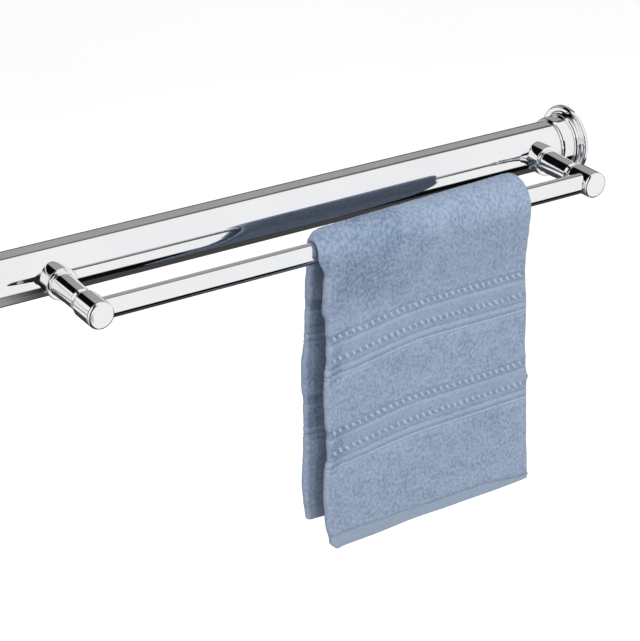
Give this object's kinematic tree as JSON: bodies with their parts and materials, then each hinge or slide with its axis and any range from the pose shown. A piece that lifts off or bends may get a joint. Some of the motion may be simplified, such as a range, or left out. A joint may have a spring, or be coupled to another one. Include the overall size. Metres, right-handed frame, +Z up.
{
  "type": "towel rack",
  "caption": "Wall-to-wall towel rack: a wide chrome tube with stepped wall roses, turned arms that hold a thinner rail in front of it, and a folded terry towel over the rail.",
  "frame": {"origin": "on the wide tube's axis, at the face of the right wall", "axes": "+X along the tube into the right wall, -Y out towards the user where the rail is, +Z up"},
  "size_m": [0.7, 0.1631, 0.3452],
  "materials": {
    "chrome": "bright polished chrome plate",
    "steel": "zinc-plated steel, hidden",
    "brass": "plain turned brass, hidden",
    "nylon": "matt black nylon, hidden",
    "terry": "pale blue cotton terry with woven borders"
  },
  "bodies": {
    "rack": {"main_tube": "chrome", "towel_rail": "chrome", "right_rose": "chrome", "right_arm_base": "chrome", "right_arm": "chrome", "left_rose": "chrome", "left_arm_base": "chrome", "left_arm": "chrome", "right_wall_plate": "steel", "right_tube_lock_screw": "steel", "right_rose_screw": "steel", "right_base_screw": "steel", "right_base_grub_screw": "steel", "right_rail_grub_screw": "steel", "left_wall_plate": "steel", "left_tube_lock_screw": "steel", "left_rose_screw": "steel", "left_base_screw": "steel", "left_base_grub_screw": "steel", "left_rail_grub_screw": "steel", "right_insert": "brass", "left_insert": "brass", "right_rail_plug": "nylon", "left_rail_plug": "nylon"},
    "towel": {"towel": "terry"}
  },
  "joints": [
    {"name": "towel_slide", "type": "slide", "parent": "rack", "child": "towel", "axis": [1, 0, 0], "range_m": [-0.2, 0.055]}
  ]
}
